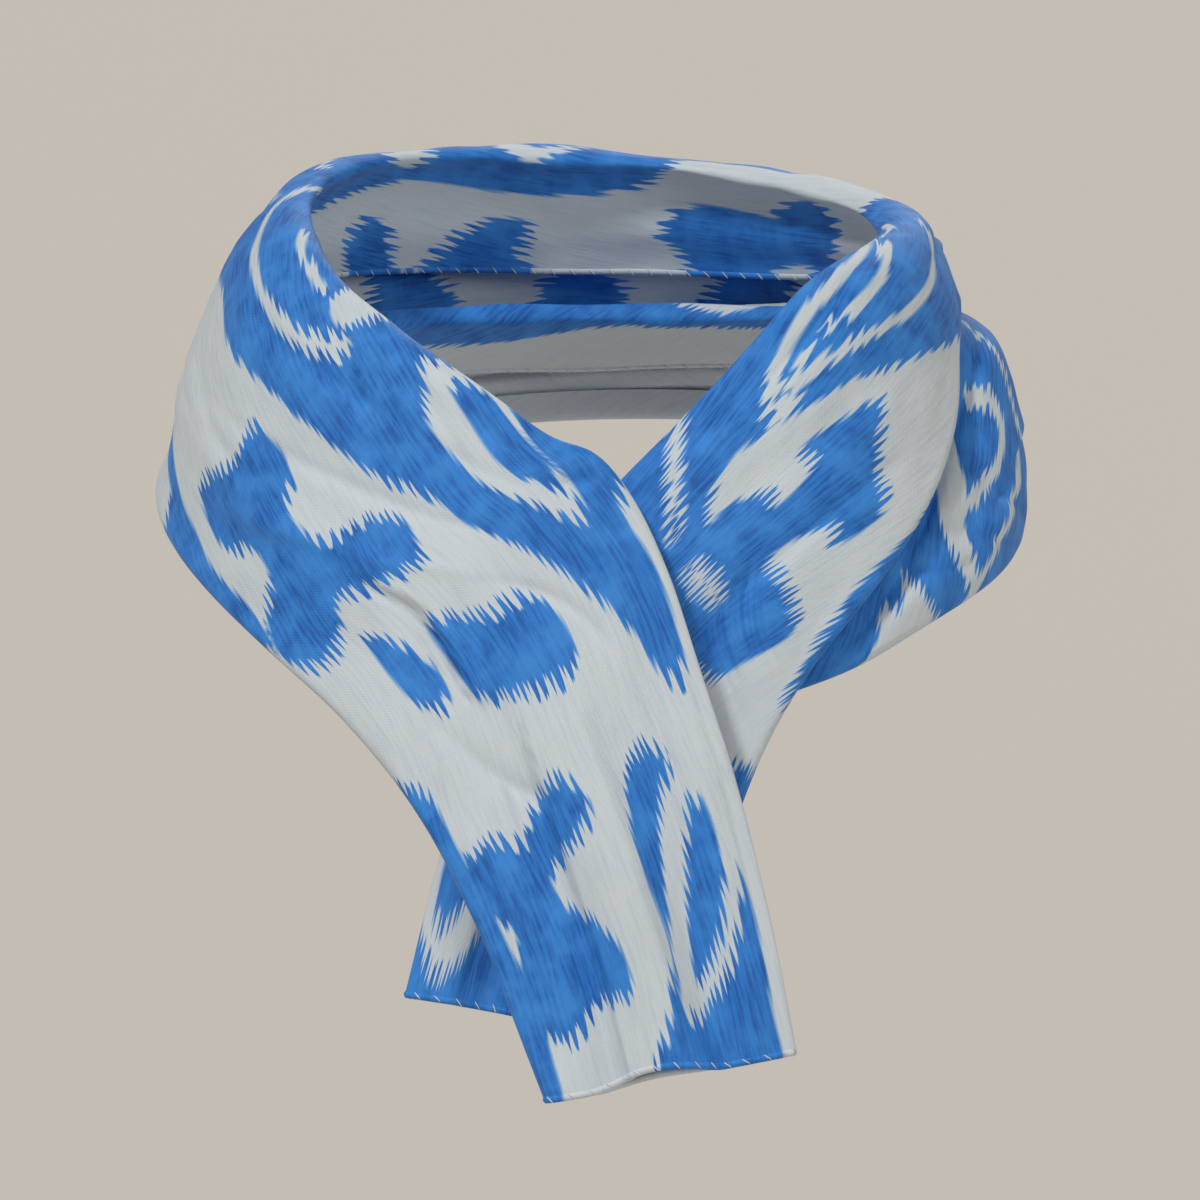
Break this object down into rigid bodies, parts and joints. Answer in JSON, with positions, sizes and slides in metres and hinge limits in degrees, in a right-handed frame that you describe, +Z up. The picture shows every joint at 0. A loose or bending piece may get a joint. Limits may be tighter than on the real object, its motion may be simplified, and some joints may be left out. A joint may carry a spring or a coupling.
{
  "type": "ikat scarf, worn",
  "caption": "Light ikat scarf folded into a band, wound round the neck and crossed in front, in its hollow worn form.",
  "frame": {"origin": "on the neck's axis, level with the neck's base at its sides", "axes": "+Z up along the neck, -Y the way the wearer faces, +X the wearer's left, which is the viewer's right"},
  "size_m": [0.1946, 0.1992, 0.1965],
  "materials": {
    "ikat_cloth": "soft, slightly lustrous plain weave with a blue and off-white ikat print"
  },
  "bodies": {
    "root": {"end_on_top": "ikat_cloth", "front_on_top": "ikat_cloth", "nape_upper": "ikat_cloth", "front_beneath": "ikat_cloth", "end_beneath": "ikat_cloth", "side_lower_left": "ikat_cloth", "nape_lower": "ikat_cloth", "side_lower_right": "ikat_cloth"}
  },
  "joints": []
}
